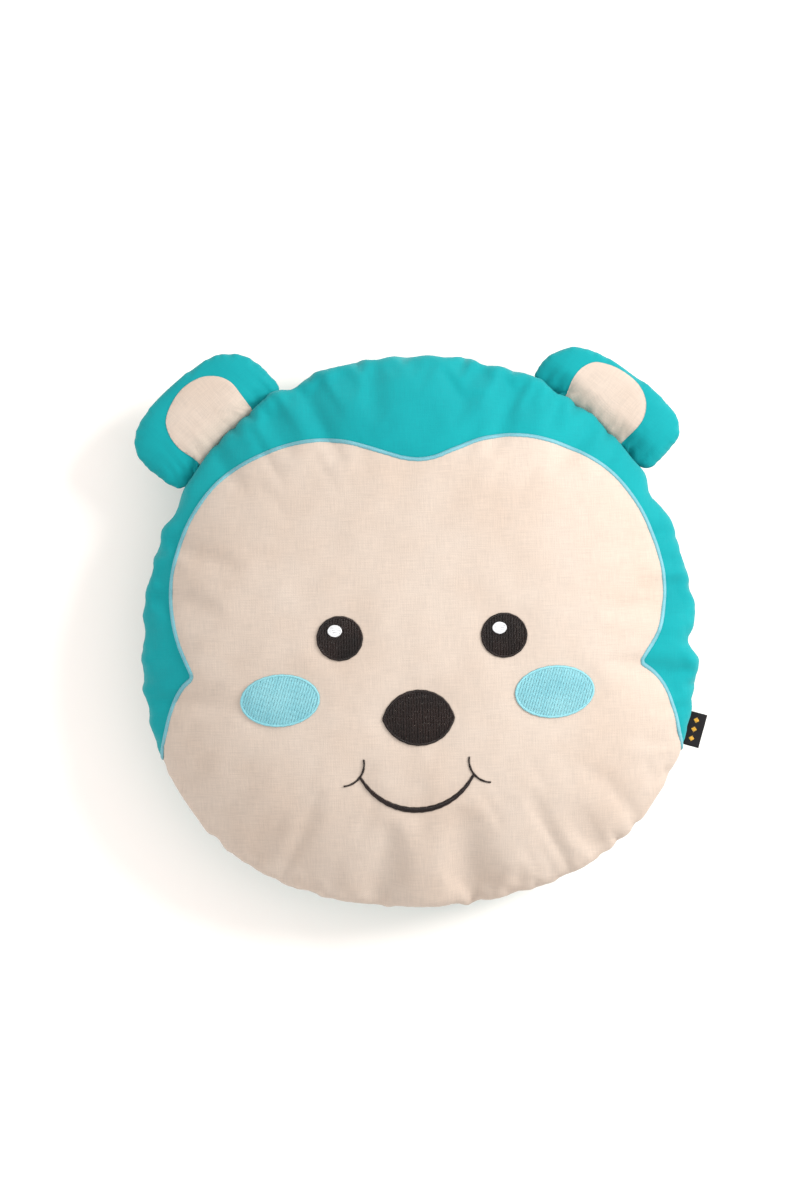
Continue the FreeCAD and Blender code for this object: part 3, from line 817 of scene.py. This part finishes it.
def make_head(outline, rings, mouth):
    """The padded cover, drawn down by the embroidery. Returns it with its places, faces and flat lengths."""
    verts, faces, uv = make_head_shape()
    is_front = verts[:, 2] > SEAM + 0.2
    sink = on_head(verts[:, 0], verts[:, 1], [(ring, 1.1, 7) for ring in rings])
    edge_gap = np.abs(signed(verts[:, :2], outline))
    sink += 0.9 * np.exp(-(edge_gap / 5) ** 2)
    near_mouth = np.sqrt(((verts[:, None, :2] - mouth[None, ::6]) ** 2).sum(2)).min(1)
    sink += 0.8 * np.exp(-(near_mouth / 6) ** 2)
    # the cloth stands up in a low ridge above the nose and below it
    middle = np.exp(-((verts[:, 0] - NOSE[0] - 1) / 3.2) ** 2)
    ridge = middle * (np.exp(-((verts[:, 1] + 30) / 9) ** 2) + np.exp(-((verts[:, 1] + 81) / 6) ** 2))
    fade = smoothstep((verts[:, 2] - SEAM - 6) / 15)
    verts[:, 2] += np.where(is_front, (ridge - sink) * fade, 0)
    verts, faces, uv = subdivided(verts, faces, uv)
    head = make_object("head_cover", verts, faces, uv)
    finished(head, TEAL, "teal_cotton", "head", "front_panel", "back_panel", "head_filling",
             "seam_stitching", "embroidery_backing", "left_ear_root", "right_ear_root", "label_root")
    return head, verts, faces, uv


def make_face(outline, verts, faces, uv):
    """The applique: the cover's own surface cut by the face's outline, one cloth higher, and its border.
    Returns the heights that the embroidery takes its places from, and the places and faces of the cloth."""
    normals = normals_of(verts, faces)
    front = [f for f in faces
             if min(verts[i][2] for i in f) > SEAM - 0.4 and normals[list(f), 2].mean() > -0.05]
    field = signed(verts[:, :2], outline)
    fv, ff, fuv, fn, chains = clipped(verts, front, uv, field, normals)
    inner = -signed(fv[:, :2], outline)
    from_rim = head_radius(np.arctan2(fv[:, 1], fv[:, 0])) - np.hypot(fv[:, 0], fv[:, 1])
    lift = (0.55 + 0.45 * smoothstep(inner / 7)) * (0.25 + 0.75 * smoothstep((from_rim - 1) / 5))
    fv = fv + fn * lift[:, None]
    ground = Ground(fv, ff, (-182, -190), (182, 140))
    places, polygons, lengths = skirted(fv, ff, fuv, fn, chains, 0.9)
    face = make_object("face_panel_cloth", places, polygons, lengths)
    finished(face, CREAM, "cream_cotton", "head", "face_panel")
    sewn_sheet(face)
    border = edge_satin("face_border_satin", fv, fn, chains, 2.6, PITCH_TURN, 0.75, 0.25)
    finished(border, BORDER, "pale_blue_thread", "head", "face_border_stitching")
    return ground, places, polygons


def patch_of_stitches(name, ground, ring, material, slot, node, fill, rim, radius):
    """A filled shape with a rim of satin. rim is the rim's inset, half width, lift and pitch."""
    inset, half, lift, pitch = rim
    rows = fill_strands(ground, ring, **fill)
    rows += satin_strands(ground, rim_path(ring, inset), lambda share: half, pitch, lift, closed=True)
    finished(threads(name, rows, radius), material, slot, "head", node)


def line_of_stitches(name, ground, path, half, lift, radius, node):
    """A curved line of satin stitches."""
    rows = satin_strands(ground, path, half, PITCH_EDGE, lift)
    finished(threads(name, rows, radius), DARK, "dark_thread", "head", node)


def make_embroidery(ground, eye_rings, cheek_rings, nose_ring, mouth):
    for side, at, ring in zip(("left", "right"), EYES, eye_rings):
        fill = dict(lean=90, pitch=PITCH_FILL, stitch=3.6, step=0.7, lift=0.8, ribs=0.55, inset=0.5)
        patch_of_stitches(f"{side}_eye_satin", ground, ring, DARK, "dark_thread", f"{side}_eye", fill,
                          (0.9, 0.95, 1.0, PITCH_EDGE), 0.27)
        shine = ellipse((at[0] - SHINE_LEFT, at[1] + SHINE_UP), 9.4, 7.8)
        fill = dict(lean=0, pitch=PITCH_FINE, stitch=12, step=0.9, lift=1.5)
        patch_of_stitches(f"{side}_eye_shine", ground, shine, WHITE, "white_thread",
                          f"{side}_eye_highlight", fill, (0.5, 0.55, 1.6, PITCH_FINE), 0.26)
    for side, ring in zip(("left", "right"), cheek_rings):
        fill = dict(lean=72, pitch=PITCH_FILL, stitch=3.8, step=0.7, lift=0.62, ribs=0.32, inset=0.8)
        patch_of_stitches(f"{side}_cheek_satin", ground, ring, BLUE, "pale_blue_thread", f"{side}_cheek",
                          fill, (0.85, 0.9, 0.95, PITCH_EDGE), 0.27)
    fill = dict(lean=90, pitch=PITCH_FILL, stitch=4.6, step=0.7, lift=0.95, ribs=0.8, inset=0.6)
    patch_of_stitches("nose_satin", ground, nose_ring, DARK, "dark_thread", "nose", fill,
                      (1.0, 1.05, 1.1, PITCH_EDGE), 0.27)
    line_of_stitches("mouth_satin", ground, mouth,
                     lambda share: 0.75 + 1.25 * math.sin(math.pi * share) ** 0.7, 1.0, 0.26, "mouth")
    for side, sign in (("left", -1), ("right", 1)):
        line_of_stitches(f"{side}_crease_satin", ground, crease_line(sign),
                         lambda share: 0.5 + 0.25 * math.sin(math.pi * share), 0.8, 0.24,
                         f"{side}_smile_crease")


# ---------------------------------------------------------------- the ears

# each ear's edge and patch in the frame of its hinge: across from the middle, and out from the seam, mm
LEFT_EAR = ((51.8, -5), (55.5, 9.8), (56.7, 21.3), (55.5, 32.4), (49.5, 40.7), (39, 46.7), (24, 49.6),
            (8.3, 50.3), (-11.9, 48.8), (-29.8, 44.9), (-40.5, 37.4), (-46.6, 28.6), (-49.1, 18.8),
            (-49.4, 8.1), (-48.6, -3))
RIGHT_EAR = ((48.3, -2), (49.7, 8), (50.4, 19.1), (48.4, 29.3), (42.1, 35.7), (32.4, 39.9), (14.7, 41.3),
             (-7.6, 40.2), (-23.5, 38), (-36, 34.6), (-46.1, 29.2), (-52.5, 21.2), (-56.4, 11.2),
             (-56.6, 3.2), (-55.4, -4.8))
LEFT_PATCH = ((26, -9), (28.2, 2), (30.7, 14), (29.2, 25), (23.6, 34.3), (11.5, 40.1), (-0.5, 41.8),
              (-12.1, 39.2), (-19.4, 34.1), (-23.9, 27.9), (-25.8, 20.5), (-24.9, 11), (-23.2, -2),
              (-21.5, -8), (-12, -11), (12, -11))
RIGHT_PATCH = ((19, -9), (21.4, 3), (22.2, 17), (18.3, 27), (11.1, 33.4), (0.5, 36.5), (-14, 35.3),
               (-25.3, 30.7), (-30, 26.2), (-32.7, 18.6), (-32.3, 9.6), (-29, 0), (-26.5, -8),
               (-14, -11), (8, -11))
EAR_TURN = 48          # direction of each ear from the head's middle, degrees from +X or -X
EAR_REACH = 190        # from the head's middle to the hinge, mm
EAR_HALF = 14          # half the thickness of a stuffed ear, mm
EAR_MIDDLE = 19.0      # how far out the middle of its outline lies, mm


def ear_base(edge):
    """The curved lower edge that is caught in the head's seam."""
    return [(x, -7.0 * (x / 52) ** 2 - 3.5) for x in np.linspace(edge[-1][0], edge[0][0], 12)[1:-1]]


def ear_shape(side, edge, seed):
    """An ear's simulated cloth, brought to its outline, in the frame of its hinge."""
    target = closed_curve([*edge, *ear_base(edge)], 1.5)
    target = resample(np.vstack([target, np.array(edge[:1], float)]), 3.0)[:-1]
    centre = np.array([np.mean(target[:, 0]), EAR_MIDDLE])
    rim = ((target - centre) * SWELL + centre) * MM
    n = len(rim)
    flat, tris, back, places = inflate(f"{side}_ear_cloth", rim, 0.0031, 34, 14, 30, 0.008)
    places = places / MM
    rel = places[:, :2] - centre
    angle, r = np.arctan2(rel[:, 1], rel[:, 0]), np.hypot(rel[:, 0], rel[:, 1])
    share = r / reach_around(places[:n, :2], centre)(angle)
    target_reach = reach_around(target, centre)(angle)
    share = 1 + (share - 1) * np.where(share > 0.95, 0.6, 1)
    x = centre[0] + share * target_reach * np.cos(angle)
    y = centre[1] + share * target_reach * np.sin(angle)
    z = np.sign(places[:, 2]) * EAR_HALF * (np.abs(places[:, 2]) / np.percentile(places[:, 2], 99.5)) ** 0.8
    # gathers where the ear is sewn into the head
    near = np.exp(-np.clip(y - 1, 0, None) / 8)
    gathers = (np.cos(2 * math.pi * (x + 2 * wobble(x, y, 30, seed)) / 8.5)
               + 0.5 * np.cos(2 * math.pi * x / 5.3 + 1))
    z *= 0.62 + 0.38 * smoothstep((y + 1) / 14)
    z += np.sign(z) * 0.75 * gathers * near * smoothstep(np.abs(z) / 2)
    z += 0.6 * wobble(x, y, 45, seed + 1) * smoothstep(share * -4 + 4)
    # the seam is pulled in between the two panels
    x[:n] -= 0.8 * np.cos(angle[:n])
    y[:n] -= 0.8 * np.sin(angle[:n])
    faces = tris + [(back[c], back[b], back[a]) for a, b, c in tris]
    return subdivided(np.column_stack([x, y, z]), faces, np.vstack([flat, flat[n:]]))


def make_ear(side, edge, patch, seed):
    """An ear: two gathered panels and its patch, built in the frame of its hinge and set in the seam."""
    sign = -1 if side == "left" else 1
    local, faces, uv = ear_shape(side, edge, seed)
    normals = normals_of(local, faces)
    turn = math.radians(EAR_TURN)
    out = np.array([sign * math.cos(turn), math.sin(turn), 0])
    along = np.array([sign * math.sin(turn), -math.cos(turn), 0])
    up = np.array([0, 0, 1.0])

    def world(p):
        return (out * EAR_REACH + up * SEAM + p[:, :1] * along + p[:, 1:2] * out + p[:, 2:] * up)

    if np.dot(np.cross(along, out), up) < 0:
        faces = [f[::-1] for f in faces]
    ear = make_object(f"{side}_ear_cover", world(local), faces, uv)
    finished(ear, TEAL, "teal_cotton", None, f"{side}_ear_front", f"{side}_ear_back",
             f"{side}_ear_filling", f"{side}_ear_stitching")
    top = [f for f in faces if normals[list(f), 2].mean() > 0.02 and local[list(f), 2].min() > 0.2]
    shape = closed_curve(patch, 1.2)
    pv, pf, puv, pn, chains = clipped(local, top, uv, signed(local[:, :2], shape), normals)
    inner = -signed(pv[:, :2], shape)
    pv = pv + pn * (0.35 + 0.35 * smoothstep(inner / 3))[:, None]
    pv, pf, puv = skirted(pv, pf, puv, pn, chains, 0.55)
    cloth = make_object(f"{side}_ear_patch_cloth", world(pv), pf, puv)
    finished(cloth, CREAM, "cream_cotton", None, f"{side}_ear_patch")
    for piece in (ear, cloth):
        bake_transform(piece)
    sewn_sheet(cloth)


# ---------------------------------------------------------------- the label

LABEL_AT = math.radians(-21)       # where it leaves the seam
LABEL_FACES = math.radians(-17)    # the way it points
LABEL_SEAM_REACH = 190.5           # from the head's middle to its root, mm
LABEL_REACH = 14.2                 # how far the tape stands out before it folds back, mm
LABEL_TUCK = 2                     # how far each end runs into the seam, mm
LABEL_HALF = 11.7                  # half the tape's width, mm
LABEL_CLOTH = 0.22                 # its thickness, mm
DIAMOND_HALF = 2.1                 # half of a diamond's width, mm
DIAMOND_APART = 6.4
DIAMOND_OUT = 8.2                  # from the seam to the row of diamonds, mm
COLUMNS = 17                       # places across the tape
label_out = np.array([math.cos(LABEL_FACES), math.sin(LABEL_FACES), 0])
label_along = np.array([-math.sin(LABEL_FACES), math.cos(LABEL_FACES), 0])
label_root = (np.array([math.cos(LABEL_AT), math.sin(LABEL_AT), 0]) * LABEL_SEAM_REACH
              + [0, 0, SEAM - 0.4])


def label_surface(u, v, layer):
    """A place on the folded tape: u across it, v from the seam, layer 1 above and -1 below."""
    droop = -0.0055 * v ** 2 + 0.25 * np.sin(u * 0.35) * (v / 14)
    gap = 0.34 + 0.22 * np.sin(math.pi * np.clip(v / 14, 0, 1))
    return (label_root + label_along * u[:, None] + label_out * v[:, None]
            + np.array([0, 0, 1.0]) * (droop + layer * gap)[:, None])


def make_tape():
    profile = [(v, 1.0) for v in np.linspace(-LABEL_TUCK, LABEL_REACH, 18)]
    profile += [(LABEL_REACH + 0.35 * math.sin(a), math.cos(a)) for a in np.linspace(0.4, math.pi - 0.4, 5)]
    profile += [(v, -1.0) for v in np.linspace(LABEL_REACH, -LABEL_TUCK, 18)]
    across = np.linspace(-LABEL_HALF, LABEL_HALF, COLUMNS)
    places = np.vstack([label_surface(across, np.full(COLUMNS, v), k) for v, k in profile])
    faces = [(i, i + 1, i + 1 + COLUMNS, i + COLUMNS)
             for row in range(len(profile) - 1) for i in range(row * COLUMNS, (row + 1) * COLUMNS - 1)]
    steps = [math.hypot(q[0] - p[0], 0.6 * (q[1] - p[1])) for p, q in zip(profile, profile[1:])]
    lengths = np.concatenate([[0], np.cumsum(steps)])
    uv = np.column_stack([np.tile(across, len(profile)), np.repeat(lengths, COLUMNS)]) * MM
    tape = make_object("label_tape_loop", places, faces, uv)
    solid = tape.modifiers.new("thickness", "SOLIDIFY")
    solid.thickness = LABEL_CLOTH * MM
    solid.offset = 0
    bpy.context.view_layer.objects.active = tape
    with bpy.context.temp_override(object=tape, active_object=tape, selected_objects=[tape]):
        bpy.ops.object.modifier_apply(modifier="thickness")
    finished(tape, TAPE, "label_tape", None, "label_tape")
    return tape


def make_diamonds():
    strands = []
    for step in (-1, 0, 1):
        for v in np.arange(-2.0, 2.01, 0.28):
            wide = DIAMOND_HALF - abs(v)
            if wide < 0.25:
                continue
            u = np.linspace(-wide, wide, 5) + step * DIAMOND_APART
            p = label_surface(u, np.full(5, DIAMOND_OUT + v), 1.0)
            p[:, 2] += 0.2
            p[[0, -1], 2] -= 0.12
            strands.append((p, np.tile([0, 0, 1.0], (5, 1))))
    return finished(threads("label_diamonds", strands, 0.16), GOLD, "gold_thread", None, "label_motif")


def make_label():
    for piece in [make_tape(), make_diamonds()]:
        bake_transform(piece)


# ---------------------------------------------------------------- the closing stitches

CLOSING_AT = -90                   # middle of the gap that the cushion was turned through, degrees
CLOSING_SPREAD = 11                # half of its length, degrees
CLOSING_COUNT = 22
CLOSING_HALF = 1.7                 # how far each stitch reaches above and below the seam, mm


def make_closing(*cloths):
    """Ladder stitches across the seam, each drawn from the cloth above it to the cloth below."""
    trees = [BVHTree.FromPolygons([Vector(v) for v in places], [tuple(int(i) for i in f) for f in faces])
             for places, faces in cloths]
    strands = []
    for step in range(CLOSING_COUNT):
        a = math.radians(CLOSING_AT + CLOSING_SPREAD * (2 * step / (CLOSING_COUNT - 1) - 1))
        out = Vector((math.cos(a), math.sin(a), 0))
        reach = []
        for rise in (-CLOSING_HALF, CLOSING_HALF):
            outside = out * 230 + Vector((0, 0, SEAM + rise))
            hits = [tree.ray_cast(outside, -out) for tree in trees]
            reach.append(max(hit[0].xy.length for hit in hits if hit[0]))
        u = np.linspace(-1, 1, 5)
        r = reach[0] + (reach[1] - reach[0]) * (u + 1) / 2 - 0.15 + 0.3 * np.cos(u * math.pi / 2)
        lean = math.radians(0.12) * (1 if step % 2 else -1)
        p = np.column_stack([r * np.cos(a + u * lean), r * np.sin(a + u * lean), SEAM + u * CLOSING_HALF])
        strands.append((p, np.tile([math.cos(a), math.sin(a), 0], (5, 1))))
    closing = threads("closing_ladder", strands, 0.3)
    finished(closing, SEWING, "teal_thread", "head", "closing_stitches")


# ---------------------------------------------------------------- floor, lights and camera

def make_floor():
    mesh = bpy.data.meshes.new("floor")
    mesh.from_pydata([(-4, -4, 0), (4, -4, 0), (4, 4, 0), (-4, 4, 0)], [], [(0, 1, 2, 3)])
    floor = bpy.data.objects.new("floor", mesh)
    bpy.context.scene.collection.objects.link(floor)
    paint = bpy.data.materials.new("floor")
    paint.use_nodes = True
    shader = paint.node_tree.nodes["Principled BSDF"]
    shader.inputs["Base Color"].default_value = (0.94, 0.875, 0.835, 1)
    shader.inputs["Roughness"].default_value = 0.75
    mesh.materials.append(paint)


def area_light(name, place, aim, size, power, colour):
    light = bpy.data.lights.new(name, "AREA")
    light.shape = "DISK"
    light.size = size
    light.energy = power
    light.color = colour
    obj = bpy.data.objects.new(name, light)
    obj.location = place
    obj.rotation_euler = (Vector(aim) - Vector(place)).to_track_quat("-Z", "Y").to_euler()
    bpy.context.scene.collection.objects.link(obj)


def light_and_camera():
    area_light("key", (1.9, 0.85, 1.55), (0, 0, 0.05), 1.2, 80, (1, 0.985, 0.965))
    area_light("fill", (-1.6, -0.5, 2.3), (0, 0, 0), 2.0, 20, (1, 0.97, 0.95))
    world = bpy.data.worlds.new("world")
    bpy.context.scene.world = world
    world.use_nodes = True
    background = world.node_tree.nodes["Background"]
    background.inputs[0].default_value = (1, 0.995, 0.99, 1)
    background.inputs[1].default_value = 0.98
    # straight above, as far off as a long lens needs to take in the picture's 0.816 m
    lens = bpy.data.cameras.new("camera")
    lens.lens = 120
    lens.sensor_width = 36
    camera = bpy.data.objects.new("camera", lens)
    camera.location = (-0.01223, 0.02349, 0.06 + 0.816 * lens.lens / lens.sensor_width)
    camera.rotation_euler = (0, 0, math.radians(-1.7))
    bpy.context.scene.collection.objects.link(camera)
    bpy.context.scene.camera = camera
    bpy.context.scene.view_settings.view_transform = "Standard"


# ---------------------------------------------------------------- everything in its order

face_edge = face_outline()
eye_rings = [ellipse(at, EYE_WIDTH, EYE_TALL) for at in EYES]
cheek_rings = [ellipse(at, CHEEK_WIDTH, CHEEK_TALL, CHEEK_TILT) for at in CHEEKS]
nose_ring = nose_outline()
mouth = mouth_line()
head, verts, faces, uv = make_head(face_edge, [*eye_rings, *cheek_rings, nose_ring], mouth)
ground, face_verts, face_faces = make_face(face_edge, verts, faces, uv)
make_embroidery(ground, eye_rings, cheek_rings, nose_ring, mouth)
make_ear("left", LEFT_EAR, LEFT_PATCH, 11)
make_ear("right", RIGHT_EAR, RIGHT_PATCH, 21)
make_label()
make_closing((verts, faces), (face_verts, face_faces))
make_floor()
light_and_camera()
